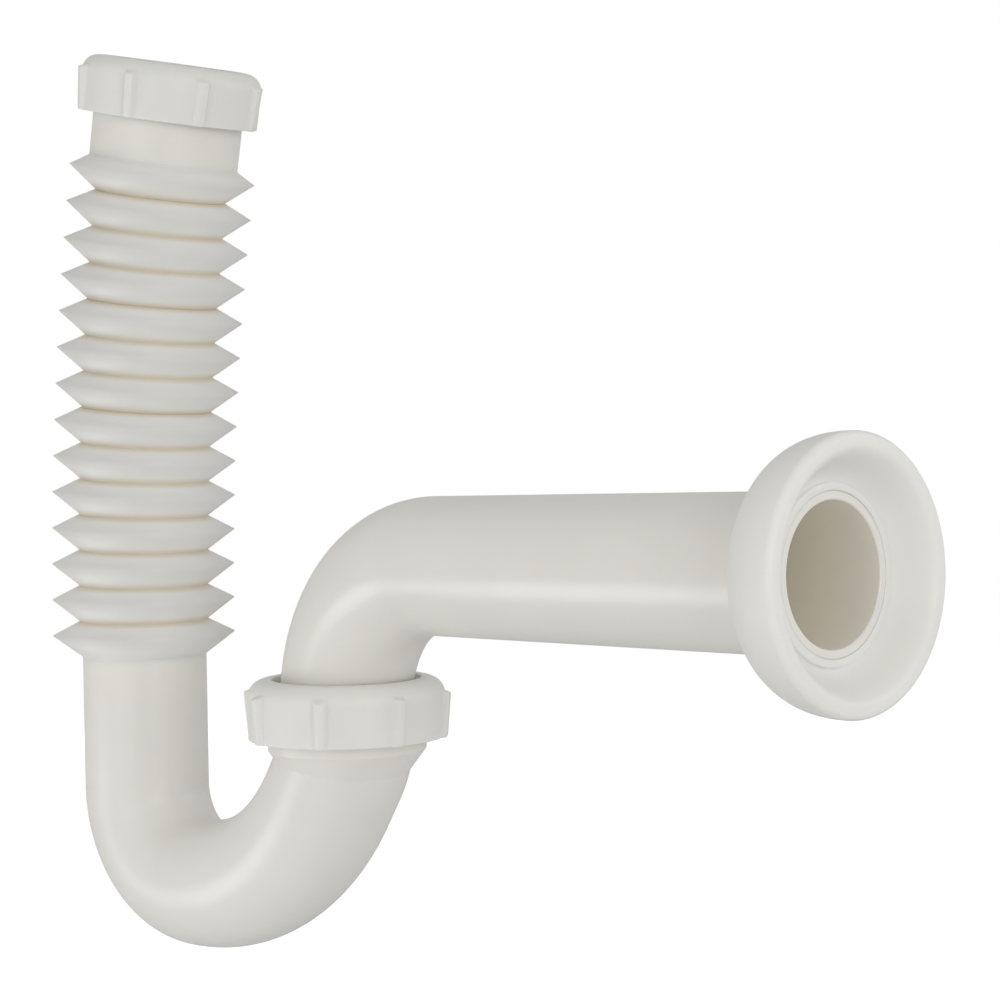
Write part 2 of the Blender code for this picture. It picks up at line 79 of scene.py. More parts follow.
def wall_of_rings(name, rings, crease=WALL_CREASE, capped=False):
    """A closed wall from rings with equal numbers of points: outside first, then back along the inside.

    With capped, the rings make a solid rod instead, and a flat face closes each end.
    """
    count, around = len(rings), len(rings[0])
    points = [point for ring in rings for point in ring]
    faces = []
    for i in range(count - 1 if capped else count):
        here, there = i * around, (i + 1) % count * around
        for j in range(around):
            k = (j + 1) % around
            faces.append((here + j, here + k, there + k, there + j))
    if capped:
        faces.append(list(reversed(range(around))))
        faces.append(list(range((count - 1) * around, count * around)))
    mesh = bpy.data.meshes.new(name)
    mesh.from_pydata(points, [], faces)
    mesh.update()
    mesh.shade_smooth()
    mesh.set_sharp_from_angle(angle=crease)
    piece = bpy.data.objects.new(name, mesh)
    bpy.context.scene.collection.objects.link(piece)
    return piece


def circle(place, radius, steps, swell=None):
    """One ring about the Z axis of a frame; swell gives each direction its own extra radius."""
    ring = []
    for j in range(steps):
        turn = ROUND * j / steps
        reach = radius + (swell(turn) if swell else 0)
        ring.append(place @ Vector((reach * math.cos(turn), reach * math.sin(turn), 0)))
    return ring


# %% [markdown]
# Moulded plastic has no knife edges: each corner of the tool leaves a small radius, and the radius is what
# catches the light. An outline is written with plain corners, and this helper rounds each one by its own
# radius before the outline is turned.

# %% Rounding the corners of an outline
ROUNDING_LIMIT_SHARE = 0.48


def softened(corners, steps=4):
    """Corners as (radius, height, rounding): each becomes a short arc that leaves its two sides smoothly."""
    line = []
    count = len(corners)
    for i, (x, z, rounding) in enumerate(corners):
        here = Vector((x, z))
        before = Vector(corners[i - 1][:2]) - here
        after = Vector(corners[(i + 1) % count][:2]) - here
        if rounding == 0:
            line.append((x, z))
            continue
        half = before.angle(after) / 2
        room = min(before.length, after.length) * ROUNDING_LIMIT_SHARE
        cut = min(rounding / math.tan(half), room)
        start, end = here + before.normalized() * cut, here + after.normalized() * cut
        for step in range(steps + 1):
            t = step / steps
            point = start * (1 - t) ** 2 + here * 2 * t * (1 - t) + end * t ** 2
            line.append((point.x, point.y))
    return line


def turned(name, outline, steps, place, swell=None):
    """An outline of (radius, height) turned about a frame's Z axis; swell may add radius."""
    rings = []
    for radius, height in outline:
        local = (lambda turn, r=radius, z=height: swell(turn, r, z)) if swell else None
        rings.append(circle(place @ Matrix.Translation((0, 0, height)), radius, steps, local))
    return wall_of_rings(name, rings)


# %% [markdown]
# The places. The bend hangs from the outlet elbow's tail, which tilts a little, and it is swivelled a few
# degrees. The folded tube stands on the bend's leg and curves over towards the outlet. These frames repeat
# the model's own, so every piece lands on its node.

# %% Frames of the tail, the leg and the folded tube
OUTLET_REACH = 0.1850
TAIL_TILT = math.radians(0.86)
TRAP_TURN = math.radians(4.2)
LEG_SPACING = 0.0982
LOWEST_FOLD_DROP = 0.0255
LEAN_HEADING = math.radians(-6)
NUT_DROP = 0.0341
FOLDS = 14
FOLD_PITCH = 0.01167
FOLD_LOWER_SHARE = 0.61
FOLD_LOWER_FLANK = FOLD_PITCH * FOLD_LOWER_SHARE
NECK_FLANK = 0.0036
FOLD_END_LAND = 0.0006
INLET_LEAN = math.radians(13.0)
NUT_HEIGHT = 0.0179
NECK_BELOW_NUT = 0.0135
FOLDS_HEAD = (FOLDS - 1) * FOLD_PITCH + NECK_FLANK + FOLD_END_LAND
LEAN_RADIUS = FOLDS_HEAD / INLET_LEAN

tail = Matrix.Translation((-OUTLET_REACH, 0, 0)) @ Matrix.Rotation(TAIL_TILT, 4, "Y")
trap = tail @ Matrix.Rotation(TRAP_TURN, 4, "Z")
outlet_nut_seat = trap @ Matrix.Translation((0, 0, -NUT_DROP))
leg = trap @ Matrix.Translation((-LEG_SPACING, 0, -LOWEST_FOLD_DROP)) @ Matrix.Rotation(LEAN_HEADING, 4, "Z")


def along_tube(height):
    """The frame on the folded tube's centre line at a height along it, as the tube curves over."""
    bent = min(max(height, 0), FOLDS_HEAD)
    turn = bent / LEAN_RADIUS
    centre = Vector((LEAN_RADIUS * (1 - math.cos(turn)), 0, LEAN_RADIUS * math.sin(turn)))
    stand = Matrix.Translation(centre) @ Matrix.Rotation(turn, 4, "Y")
    return leg @ stand @ Matrix.Translation((0, 0, height - bent))


inlet_seat = along_tube(FOLDS_HEAD + NUT_HEIGHT + NECK_BELOW_NUT)
print("inlet at", [round(v, 4) for v in inlet_seat.translation])

# %% [markdown]
# The plastic. Natural polypropylene is not a painted white: light enters it, scatters and comes back warm,
# so grooves glow beige instead of going grey. A little subsurface does that, and in the folded tube's grooves
# a darker warm beige is painted in as well, as painted shade. The skin of a blown part is satin and slightly
# uneven, so a broad noise moves the tone, a finer one the roughness, and the finest lifts the surface a
# trace.

# %% A shader for moulded plastic
SCATTER_REACH = 0.004
SCATTER_BY_COLOUR = (1.0, 0.8, 0.55)
SPECULAR_LEVEL = 0.42
TONE_SHIFT_SHARE = 0.035
CLOUD_SCALE, CLOUD_DETAIL = 38.0, 3.0
SHEEN_SCALE, SHEEN_DETAIL = 90.0, 2.0
SKIN_SCALE, SKIN_DETAIL = 140.0, 1.0
SHEEN_DOWN, SHEEN_UP = 0.01, 0.02
SKIN_LIFT = 0.0004
GROOVE_SHARE = 0.34


def plastic(name, colour, roughness, scatter, unevenness):
    """A moulded plastic whose tone, roughness and skin vary a little over the piece."""
    material = bpy.data.materials.new(name)
    material.use_nodes = True
    tree = material.node_tree
    shader = tree.nodes["Principled BSDF"]
    shader.inputs["Subsurface Weight"].default_value = scatter
    shader.inputs["Subsurface Radius"].default_value = SCATTER_BY_COLOUR
    shader.inputs["Subsurface Scale"].default_value = SCATTER_REACH
    shader.inputs["Specular IOR Level"].default_value = SPECULAR_LEVEL
    place = tree.nodes.new("ShaderNodeTexCoord")

    def noise(scale, detail):
        node = tree.nodes.new("ShaderNodeTexNoise")
        node.inputs["Scale"].default_value = scale
        node.inputs["Detail"].default_value = detail
        tree.links.new(place.outputs["Object"], node.inputs["Vector"])
        return node.outputs["Fac"]

    cloud = noise(CLOUD_SCALE, CLOUD_DETAIL)
    mottle = tree.nodes.new("ShaderNodeMix")
    mottle.data_type = "RGBA"
    darker = [c * (1 - TONE_SHIFT_SHARE) for c in colour]
    lighter = [min(c * (1 + TONE_SHIFT_SHARE), 1) for c in colour]
    mottle.inputs[6].default_value = (*darker, 1)
    mottle.inputs[7].default_value = (*lighter, 1)
    tree.links.new(cloud, mottle.inputs[0])
    tree.links.new(mottle.outputs[2], shader.inputs["Base Color"])

    sheen_change = tree.nodes.new("ShaderNodeMapRange")
    sheen_change.inputs["To Min"].default_value = roughness - SHEEN_DOWN
    sheen_change.inputs["To Max"].default_value = roughness + SHEEN_UP
    tree.links.new(noise(SHEEN_SCALE, SHEEN_DETAIL), sheen_change.inputs["Value"])
    tree.links.new(sheen_change.outputs["Result"], shader.inputs["Roughness"])

    skin = tree.nodes.new("ShaderNodeBump")
    skin.inputs["Strength"].default_value = unevenness
    skin.inputs["Distance"].default_value = SKIN_LIFT
    tree.links.new(noise(SKIN_SCALE, SKIN_DETAIL), skin.inputs["Height"])
    tree.links.new(skin.outputs["Normal"], shader.inputs["Normal"])
    return material


def paint_groove_shade(material, groove_shade_colour):
    """Paints shade into a plastic where the out_of_groove attribute is low: a darker, warmer colour on top of
    its own mottled colour, as painted shade in the grooves.
    """
    tree = material.node_tree
    shader = tree.nodes["Principled BSDF"]
    plain = shader.inputs["Base Color"].links[0].from_socket
    depth = tree.nodes.new("ShaderNodeAttribute")
    depth.attribute_name = "out_of_groove"
    spread = tree.nodes.new("ShaderNodeMapRange")
    spread.inputs["From Max"].default_value = GROOVE_SHARE
    spread.interpolation_type = "SMOOTHSTEP"
    tree.links.new(depth.outputs["Fac"], spread.inputs["Value"])
    tint = tree.nodes.new("ShaderNodeMix")
    tint.data_type = "RGBA"
    tint.inputs[6].default_value = (*groove_shade_colour, 1)
    tree.links.new(spread.outputs["Result"], tint.inputs[0])
    tree.links.new(plain, tint.inputs[7])
    tree.links.new(tint.outputs[2], shader.inputs["Base Color"])
    return material


IVORY = (0.84, 0.82, 0.77)
NUT_IVORY = (0.83, 0.825, 0.79)
FLANGE_WHITE = (0.85, 0.845, 0.81)
# Painted light: the folded tube is the bend's own plastic, given a lighter colour to lift the shade between
# its folds.
FOLD_IVORY_PAINTED_LIGHTER = (0.88, 0.86, 0.81)
# Painted light: the bore is the pipe's own plastic, painted lighter and warmer for the glow that bounces
# about inside it.
BORE_PAINTED_GLOW = (0.93, 0.89, 0.79)
# Painted shade: a darker, warmer beige painted down in the folded tube's grooves.
GROOVE_PAINTED_SHADE = (0.79, 0.72, 0.59)
RING_GREY = (0.78, 0.78, 0.76)
RUBBER_BLACK = (0.10, 0.10, 0.10)

# Each finish: its colour, its roughness, the share of light that scatters inside, and how uneven the skin is.
blown_ivory = plastic("blown ivory plastic", IVORY, 0.33, 0.20, 0.05)
moulded_ivory = plastic("moulded ivory plastic", IVORY, 0.28, 0.12, 0.05)
bore_painted_glow = plastic("ivory of the bore with painted glow", BORE_PAINTED_GLOW, 0.45, 0.25, 0.05)
# The folded tube's finish carries painted light in its lighter colour and painted shade in its grooves.
fold_painted_light_and_shade = paint_groove_shade(plastic("folded ivory plastic with painted light and shade", FOLD_IVORY_PAINTED_LIGHTER, 0.42, 0.25, 0.05), GROOVE_PAINTED_SHADE)
nut_plastic = plastic("nut plastic", NUT_IVORY, 0.44, 0.30, 0.06)
flange_plastic = plastic("flange plastic", FLANGE_WHITE, 0.48, 0.25, 0.05)
ring_plastic = plastic("slip ring plastic", RING_GREY, 0.35, 0.10, 0.03)
washer_rubber = plastic("washer rubber", RUBBER_BLACK, 0.75, 0.0, 0.15)
print("finishes:", len(bpy.data.materials))


def place_piece(piece, material, slot, body, *nodes):
    """Gives a piece its finish, hangs it on its body and lets it stand for its node."""
    piece.data.materials.append(material)
    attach(piece, body)
    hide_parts(*nodes)
    return piece


# %% [markdown]
# The folded tube. Blown in a tool of stacked V grooves, each fold has a short upper flank and a longer lower
# one, a thin ridge and a rounder root. The ridges are turned rings carried along the curve. The skin comes
# in four lengths, because a skin can bend between two bodies only, and each join lies in a root, where the
# groove's shade hides it.

# %% Rings of the folded tube
FOLD_TIP_RADIUS = 0.0298
FOLD_ROOT_RADIUS = 0.0209
FOLD_WALL = 0.0012
FOLD_AROUND = 120
BEND_RADIUS = 0.0203
THREAD_RADIUS = 0.0239
ROOT_ROUND = 0.0003
FOOT_ROUND = 0.0004
HEAD_ROUND = 0.0008
SLOPE_WALL_SHARE = 1.35
foot_height = -FOLD_LOWER_FLANK + FOOT_ROUND
head_height = (FOLDS - 1) * FOLD_PITCH


def fold_line(lowest, highest):
    """Corners of the outside from the lowest root up to the highest root, each with its rounding."""
    corners = []
    for fold in range(lowest, highest + 1):
        corners.append((FOLD_ROOT_RADIUS, fold * FOLD_PITCH - FOLD_LOWER_FLANK, ROOT_ROUND))
        corners.append((FOLD_TIP_RADIUS, fold * FOLD_PITCH, 0))
    return corners


def fold_skin(name, corners, first, last):
    """A length of the tube: the outside going up, then the inside coming down, on the curved centre line."""
    line = first + corners + last
    inside = [(x - FOLD_WALL * SLOPE_WALL_SHARE, z) for x, z, rounding in reversed(line)]
    outside = softened(line, 2)
    outline = outside + inside
    rings = [circle(along_tube(z), x, FOLD_AROUND) for x, z in outline]
    skin = wall_of_rings(name, rings, math.pi)
    # The ridges are shaded round, and only the cut ends of a length keep a hard edge.
    ends = (0, len(outside) - 1, len(outside), len(outline) - 1)
    for edge in skin.data.edges:
        ring, other_ring = (corner // FOLD_AROUND for corner in edge.vertices)
        edge.use_edge_sharp = ring == other_ring and ring in ends
    # How far each point lies out of the grooves: down in a groove the colour is painted darker and warmer, as
    # painted shade.
    depth = skin.data.attributes.new("out_of_groove", "FLOAT", "POINT")
    for i, (x, z) in enumerate(outline):
        share = (x - FOLD_ROOT_RADIUS) / (FOLD_TIP_RADIUS - FOLD_ROOT_RADIUS)
        for j in range(FOLD_AROUND):
            depth.data[i * FOLD_AROUND + j].value = share if foot_height < z < head_height else 1
    return skin


def root_height(fold):
    return fold * FOLD_PITCH - FOLD_LOWER_FLANK


# %% The four lengths of skin
SKIN_CUTS = [0, 7, 10, 13, 14]
foot = [(BEND_RADIUS, -FOLD_LOWER_FLANK - FOLD_END_LAND, 0), (BEND_RADIUS, -FOLD_LOWER_FLANK, FOOT_ROUND)]
lengths = []
for number, (low, high) in enumerate(zip(SKIN_CUTS, SKIN_CUTS[1:])):
    corners = fold_line(low, high - 1)
    if low == 0:
        corners = corners[1:]
    top = [(FOLD_ROOT_RADIUS, root_height(high), 0)]
    if high == FOLDS:
        top = [(THREAD_RADIUS, FOLDS_HEAD - FOLD_END_LAND, HEAD_ROUND), (THREAD_RADIUS, FOLDS_HEAD, 0)]
    if low:
        corners[0] = (*corners[0][:2], 0)
    skin = fold_skin(f"fold_skin_{number}", corners, foot if low == 0 else [], top)
    skin.data.materials.append(fold_painted_light_and_shade)
    lengths.append(skin)
print("skin faces:", sum(len(skin.data.polygons) for skin in lengths))

carried = [("trap", "folds_low"), ("folds_low", "folds_high"), ("folds_high", "inlet")]
stands_for = [("bellows_lower",), ("bellows_lower", "bellows_upper"), ("bellows_upper",), ("bellows_upper",)]
for number, (low, high) in enumerate(carried):
    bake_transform(lengths[number])
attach(lengths[3], "inlet")
for skin, nodes in zip(lengths, stands_for):
    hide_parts(*nodes)

# %% [markdown]
# The tubes. The bend and the elbow are round tubes of even bore, so each is a ring carried along a centre
# line: first the outside, then back through the bore.

# %% A round tube along a centre line
ARC_STEP = math.radians(2.5)


def tube_frames(route, side):
    """A frame at each point of a flat route: Z along the route and Y across the plane it lies in."""
    frames = []
    for i, point in enumerate(route):
        before, after = route[max(i - 1, 0)], route[min(i + 1, len(route) - 1)]
        ahead = (after - before).normalized()
        across = side.cross(ahead)
        turn = Matrix((across, side, ahead)).transposed().to_4x4()
        frames.append(Matrix.Translation(point) @ turn)
    return frames


def arc_points(centre, radius, start, end, step=ARC_STEP):
    """Points round an arc in the XZ plane, ends included; angle zero points down and grows towards +X."""
    count = max(2, math.ceil(abs(end - start) / step))
    angles = [start + (end - start) * i / count for i in range(count + 1)]
    return [centre + Vector((math.sin(t), 0, -math.cos(t))) * radius for t in angles]


# %% Outlet elbow and pipe
PIPE_RADIUS = 0.0200
PIPE_WALL = 0.0022
ELBOW_SWEEP = 0.0430
TAIL_DEPTH = 0.0187
SPIGOT_CHAMFER = 0.0003
BORE_CHAMFER = 0.0003
PIPE_STEPS = 24
QUARTER = math.pi / 2
TUBE_AROUND = 120

elbow_turn = QUARTER - TAIL_TILT
elbow_centre = Vector((-OUTLET_REACH + ELBOW_SWEEP * math.tan(elbow_turn / 2), 0, -ELBOW_SWEEP))
sweep = arc_points(elbow_centre, ELBOW_SWEEP, -QUARTER - TAIL_TILT, -2 * QUARTER)
tail_tip = tail @ Vector((0, 0, -NUT_DROP - TAIL_DEPTH))
pipe_run = [Vector((sweep[-1].x * (1 - i / PIPE_STEPS), 0, 0)) for i in range(1, PIPE_STEPS + 1)]
route = [tail_tip, *sweep, *pipe_run]
elbow_frames = tube_frames(route, Vector((0, 1, 0)))
# The sweep's frames face along the route, and the open end gets its small chamfer.
outside = [circle(place, PIPE_RADIUS, TUBE_AROUND) for place in elbow_frames[:-1]]
open_end = elbow_frames[-1]
outside.append(circle(open_end @ Matrix.Translation((0, 0, -SPIGOT_CHAMFER)), PIPE_RADIUS, TUBE_AROUND))
outside.append(circle(open_end, PIPE_RADIUS - SPIGOT_CHAMFER, TUBE_AROUND))
bore = [circle(open_end, PIPE_RADIUS - PIPE_WALL + BORE_CHAMFER, TUBE_AROUND)]
chamfer_place = open_end @ Matrix.Translation((0, 0, -BORE_CHAMFER))
bore.append(circle(chamfer_place, PIPE_RADIUS - PIPE_WALL, TUBE_AROUND))
bore += [circle(place, PIPE_RADIUS - PIPE_WALL, TUBE_AROUND) for place in reversed(elbow_frames[:-1])]
elbow = wall_of_rings("outlet_pipe_and_elbow", outside + bore, ELBOW_CREASE)
place_piece(elbow, moulded_ivory, "ivory", "outlet_tube", "outlet_elbow")
# The bore's faces get the lighter, warmer ivory: painted glow inside the pipe.
elbow.data.materials.append(bore_painted_glow)
for face in elbow.data.polygons[(len(outside) + 1) * TUBE_AROUND:-TUBE_AROUND]:
    face.material_index = 1
print("elbow faces:", len(elbow.data.polygons))

# %% The bend's centre line
LEG_FOOT_DROP = 0.0757
TIGHT_SWEEP = 0.0292
WIDE_SWEEP = 0.070594
WIDE_SWEEP_TURN = math.radians(58.2)
COLLAR_SWEEP = 0.0240
BEND_WALL = 0.0020
COLLAR_SKIRT = 0.0036
COLLAR_CONE = 0.0105
COLLAR_CONE_FOOT_RADIUS = 0.0160
COLLAR_TOP = 0.0069
LEG_STEPS = 12
LAST_RUN_SHARES = (0.33, 0.67)

leg_top = -LOWEST_FOLD_DROP - FOLD_LOWER_FLANK - FOLD_END_LAND
tight_centre = Vector((-LEG_SPACING + TIGHT_SWEEP, 0, -LEG_FOOT_DROP))
wide_centre = tight_centre + Vector((0, 0, WIDE_SWEEP - TIGHT_SWEEP))
leg_heights = [leg_top + (-LEG_FOOT_DROP - leg_top) * i / LEG_STEPS for i in range(LEG_STEPS)]
leg_run = [Vector((-LEG_SPACING, 0, height)) for height in leg_heights]
bend_route = leg_run + arc_points(tight_centre, TIGHT_SWEEP, -QUARTER, 0)
bend_route += arc_points(wide_centre, WIDE_SWEEP, 0, WIDE_SWEEP_TURN)[1:]
slope = Vector((math.cos(WIDE_SWEEP_TURN), 0, math.sin(WIDE_SWEEP_TURN)))
last_run = (-bend_route[-1].x - COLLAR_SWEEP * (1 - math.sin(WIDE_SWEEP_TURN))) / slope.x
last_start = bend_route[-1] + slope * last_run
upright = Vector((-math.sin(WIDE_SWEEP_TURN), 0, math.cos(WIDE_SWEEP_TURN)))
last_centre = last_start + upright * COLLAR_SWEEP
bend_route += [bend_route[-1].lerp(last_start, t) for t in LAST_RUN_SHARES]
bend_route += arc_points(last_centre, COLLAR_SWEEP, WIDE_SWEEP_TURN, QUARTER)
print("bend route points:", len(bend_route))

# %% [markdown]
# The bend and its collar. The collar is a separate solid of revolution that the tube runs into, so the two
# are joined with a Boolean, and the socket and the bore are cut through both. That gives the true line where
# the collar's cone dies into the sloping tube.

# %% The swept bend with its collar
THREAD_PITCH = 0.002309
THREAD_DEPTH = 0.0011
WASHER_CONE = 0.0054
WASHER_CONE_TOP_RADIUS = 0.0223
SOCKET_RADIUS = 0.0212
SOCKET_DEPTH = 0.0128
TURNED_AROUND = 120
THREAD_FLAT_SHARE = 1.4
COLLAR_INSIDE = 0.0150
COLLAR_TOP_ROUND = 0.0004
COLLAR_FOOT_ROUND = 0.0006
CUT_OVER = 0.004
SEAT_EASE = 0.0003


def thread_lift(turn, height, top, foot):
    """How far a thread's groove dips at a turn and height: a soft V that fades at both ends of the thread."""
    phase = (height / THREAD_PITCH - turn / ROUND) % 1
    groove = 1 - abs(2 * phase - 1)
    fade = min(1, max(0, (top - height) / THREAD_PITCH), max(0, (height - foot) / THREAD_PITCH))
    return -THREAD_DEPTH * min(1, groove * THREAD_FLAT_SHARE) * fade


def stacked(radius, top, foot, step):
    """Points down a straight side, close enough together to carry a thread."""
    count = math.ceil((top - foot) / step)
    return [(radius, top - (top - foot) * i / count) for i in range(count + 1)]


def joined(piece, other, operation):
    """Applies one Boolean to a piece and removes the other solid."""
    step = piece.modifiers.new(operation.lower(), "BOOLEAN")
    step.operation, step.solver, step.object = operation, "EXACT", other
    graph = bpy.context.evaluated_depsgraph_get()
    mesh = bpy.data.meshes.new_from_object(piece.evaluated_get(graph))
    piece.modifiers.clear()
    piece.data = mesh
    bpy.data.objects.remove(other, do_unlink=True)
    return piece


def solid_of_revolution(name, outline, place):
    """A turned solid with a flat face at each end of its outline."""
    rings = [circle(place @ Matrix.Translation((0, 0, z)), radius, TURNED_AROUND) for radius, z in outline]
    return wall_of_rings(name, rings, capped=True)


bend_frames = [trap @ place for place in tube_frames(bend_route, Vector((0, 1, 0)))]


def rod(name, frames, radius):
    """A solid round rod along the frames."""
    return wall_of_rings(name, [circle(place, radius, TUBE_AROUND) for place in frames], capped=True)


bend = rod("trap_bend_body", bend_frames, BEND_RADIUS)
collar_foot = -NUT_HEIGHT - COLLAR_SKIRT
collar_line = softened(
    [
        (COLLAR_INSIDE, -COLLAR_TOP, 0),
        (THREAD_RADIUS, -COLLAR_TOP, COLLAR_TOP_ROUND),
        (THREAD_RADIUS, collar_foot, COLLAR_FOOT_ROUND),
        (COLLAR_CONE_FOOT_RADIUS, collar_foot - COLLAR_CONE, 0),
        (COLLAR_INSIDE, collar_foot - COLLAR_CONE, 0),
    ],
    3,
)
collar = solid_of_revolution("collar", collar_line, outlet_nut_seat)
bend = joined(bend, collar, "UNION")
cone_foot = -COLLAR_TOP - WASHER_CONE - SEAT_EASE
socket_line = [
    (WASHER_CONE_TOP_RADIUS + SEAT_EASE, CUT_OVER),
    (WASHER_CONE_TOP_RADIUS + SEAT_EASE, -COLLAR_TOP),
    (SOCKET_RADIUS, cone_foot),
    (SOCKET_RADIUS, -COLLAR_TOP - SOCKET_DEPTH),
]
bend = joined(bend, solid_of_revolution("socket", socket_line, outlet_nut_seat), "DIFFERENCE")
below_seat = outlet_nut_seat.inverted()
bore_frames = [place for place in bend_frames if (below_seat @ place.translation).z < cone_foot - CUT_OVER]
bore_frames.insert(0, bore_frames[0] @ Matrix.Translation((0, 0, -CUT_OVER)))
bend = joined(bend, rod("bore", bore_frames, BEND_RADIUS - BEND_WALL), "DIFFERENCE")
bend.data.shade_smooth()
bend.data.set_sharp_from_angle(angle=BEND_CREASE)
place_piece(bend, blown_ivory, "ivory", "trap", "trap_bend")
print("bend faces:", len(bend.data.polygons))

# %% [markdown]
# The coupling nuts. Each is a closed-top cap with a hole for the tube, a rounded shoulder and eight grip
# ribs that stand out further at the head than at the foot. The ribs are part of the same wall: the turned
# outline swells outwards where a rib is, with soft flanks, as it does in the mould.

# %% Coupling nuts
NUT_BODY_RADIUS = 0.0287
OUTLET_NUT_RADIUS = 0.0297
NUT_SHOULDER = 0.0046
NUT_TOP_WALL = 0.0030
NUT_FOOT_ROUND = 0.0008
NUT_HOLE_RADIUS = 0.0225
NUT_BORE_RADIUS = 0.0242
NUT_RIBS = 8
RIB_WIDTH = 0.0046
RIB_PROUD = 0.0024
RIB_FOOT_PROUD = 0.0012
RIB_TOP_BELOW = 0.0040
RIB_FLANK = 0.0013
RIB_TOP_SOFT = 0.0011
DOME_REACH = 0.0056
DOME_DROP = 0.0051
DOME_STEPS = 18
NUT_AROUND = 384
OUTLET_FIRST_RIB = math.radians(-12.8)
INLET_FIRST_RIB = math.radians(-12.6)
SIDE_STEP = 0.0006
SIDE_START = 0.0003
CROWN_EASE = 0.0001
CROWN_INSET = 0.0002
BORE_EDGE_ROUND = 0.0003
HOLE_TOP_ROUND = 0.0005
RIBLESS_SHARE = 0.55
RIB_FOOT_LOSS_SHARE = 0.25
RIB_FOOT_SOFT = 0.0008
FOOT_START_SHARE = 1.01


def smooth_step(value):
    """Rises from zero to one without a corner at either end."""
    t = min(max(value, 0), 1)
    return t * t * (3 - 2 * t)


def rib_swell(body_radius, first_rib):
    """Extra radius of the nut's outside for its ribs, by turn and height."""

    def swell(turn, radius, height):
        if radius < body_radius - NUT_SHOULDER * RIBLESS_SHARE or height > -RIB_TOP_BELOW + RIB_TOP_SOFT:
            return 0
        pitch = ROUND / NUT_RIBS
        off = abs((turn - first_rib + pitch / 2) % pitch - pitch / 2) * body_radius
        across = 1 - smooth_step((off - RIB_WIDTH / 2 + RIB_FLANK) / RIB_FLANK)
        down = (-RIB_TOP_BELOW - height) / (NUT_HEIGHT - RIB_TOP_BELOW)
        face = body_radius + RIB_PROUD + (RIB_FOOT_PROUD - RIB_PROUD) * min(max(down, 0), 1)
        top = smooth_step((-RIB_TOP_BELOW - height) / RIB_TOP_SOFT + 0.5)
        below = (-height - NUT_HEIGHT + RIB_FOOT_SOFT) / RIB_FOOT_SOFT
        foot = 1 - RIB_FOOT_LOSS_SHARE * smooth_step(below)
        return max(face - radius, 0) * across * top * foot

    return swell


def coupling_nut(name, body_radius, first_rib, seat):
    """A closed-top nut: over the dome, down the ribbed side, then back up the bore to the hole."""
    shoulder = [
        (body_radius - DOME_REACH * (1 - math.sin(t)), -DOME_DROP * (1 - math.cos(t)) - CROWN_EASE)
        for t in (QUARTER * i / DOME_STEPS for i in range(DOME_STEPS + 1))
    ]
    side_top = shoulder[-1][1] - SIDE_START
    side = stacked(body_radius, side_top, -NUT_HEIGHT + NUT_FOOT_ROUND, SIDE_STEP)
    foot_edge = softened(
        [
            (body_radius, -NUT_HEIGHT + NUT_FOOT_ROUND * FOOT_START_SHARE, 0),
            (body_radius, -NUT_HEIGHT, NUT_FOOT_ROUND),
            (NUT_BORE_RADIUS, -NUT_HEIGHT, BORE_EDGE_ROUND),
            (NUT_BORE_RADIUS, -NUT_TOP_WALL, 0),
            (NUT_HOLE_RADIUS, -NUT_TOP_WALL, BORE_EDGE_ROUND),
            (NUT_HOLE_RADIUS, 0, HOLE_TOP_ROUND),
            (body_radius - DOME_REACH - CROWN_INSET, -CROWN_EASE, 0),
        ],
        4,
    )
    outline = shoulder + side + foot_edge[1:]
    return turned(name, outline, NUT_AROUND, seat, rib_swell(body_radius, first_rib))


outlet_nut = coupling_nut("outlet_coupling_nut", OUTLET_NUT_RADIUS, OUTLET_FIRST_RIB, outlet_nut_seat)
place_piece(outlet_nut, nut_plastic, "nut_ivory", "outlet_nut", "outlet_nut")
inlet_nut = coupling_nut("inlet_coupling_nut", NUT_BODY_RADIUS, INLET_FIRST_RIB, inlet_seat)
place_piece(inlet_nut, nut_plastic, "nut_ivory", "inlet_nut", "inlet_nut")
print("nut faces:", len(outlet_nut.data.polygons))

# %% [markdown]
# The inlet neck is a plain tube. Under the top nut it carries the thread that the nut runs on.

# %% Inlet neck
NECK_WALL = 0.0025
NECK_MOUTH_WALL = 0.0005
NECK_TOP_DROP = 0.0005
NECK_STEP = 0.0003
THREAD_RUN_OUT = 0.0012
neck_foot = -NUT_HEIGHT - NECK_BELOW_NUT
neck_side = stacked(THREAD_RADIUS, -COLLAR_TOP - NECK_TOP_DROP, neck_foot, NECK_STEP)
neck_inside = [
    (THREAD_RADIUS - NECK_WALL, neck_foot),
    (THREAD_RADIUS - NECK_WALL, cone_foot),
    (WASHER_CONE_TOP_RADIUS + SEAT_EASE, -COLLAR_TOP),
    (THREAD_RADIUS - NECK_MOUTH_WALL, -COLLAR_TOP),
]


def neck_thread(turn, radius, height):
    if radius < THREAD_RADIUS:
        return 0
    return thread_lift(turn, height, -COLLAR_TOP, -NUT_HEIGHT + THREAD_RUN_OUT)


neck = turned("inlet_threaded_neck", neck_side + neck_inside, TURNED_AROUND, inlet_seat, neck_thread)
place_piece(neck, blown_ivory, "ivory", "inlet", "inlet_neck")

# %% [markdown]
# The wall flange is a thin dish: a dome towards the room, a rounded lip, and on the wall side a smooth
# hollow round the collar that rides on the pipe. The dome is a rounded quarter, the hollow a cosine curve.

